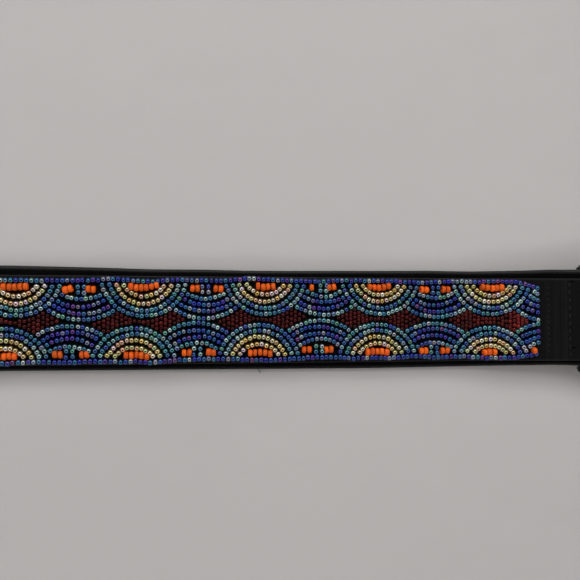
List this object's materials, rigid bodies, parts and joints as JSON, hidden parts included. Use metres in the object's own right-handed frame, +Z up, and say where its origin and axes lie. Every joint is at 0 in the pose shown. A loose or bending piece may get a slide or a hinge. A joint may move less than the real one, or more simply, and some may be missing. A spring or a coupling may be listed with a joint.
{
  "type": "beaded belt",
  "caption": "Black leather belt laid flat, with a beadwork panel of concentric suns and waves round dark red islands, a plain pin buckle and a punched tongue.",
  "frame": {"origin": "on the surface that the belt lies on, under the middle of the whole belt's box", "axes": "+X along the belt towards the buckle, +Y across it, +Z up from the surface"},
  "size_m": [0.9126, 0.0498, 0.0102],
  "materials": {
    "strap_leather": "black full-grain leather, satin, with burnished edges",
    "front_leather": "thinner black leather, satin, with cut edges",
    "buckle_metal": "black enamelled metal, semi-gloss",
    "bead_blue": "navy and teal glass seed beads with an iridescent coating",
    "bead_garnet": "deep garnet transparent glass seed beads"
  },
  "bodies": {
    "root": {"strap": "strap_leather", "front_strip": "front_leather", "buckle": "buckle_metal", "bead_field_upper": "bead_blue", "bead_field_lower": "bead_blue", "garnet_island_01": "bead_garnet", "garnet_island_02": "bead_garnet", "garnet_island_03": "bead_garnet", "garnet_island_04": "bead_garnet", "garnet_island_05": "bead_garnet", "garnet_island_06": "bead_garnet", "garnet_island_07": "bead_garnet", "garnet_island_08": "bead_garnet", "garnet_island_09": "bead_garnet", "garnet_island_10": "bead_garnet", "garnet_island_11": "bead_garnet", "garnet_island_12": "bead_garnet", "garnet_island_13": "bead_garnet", "garnet_island_14": "bead_garnet"}
  },
  "joints": []
}
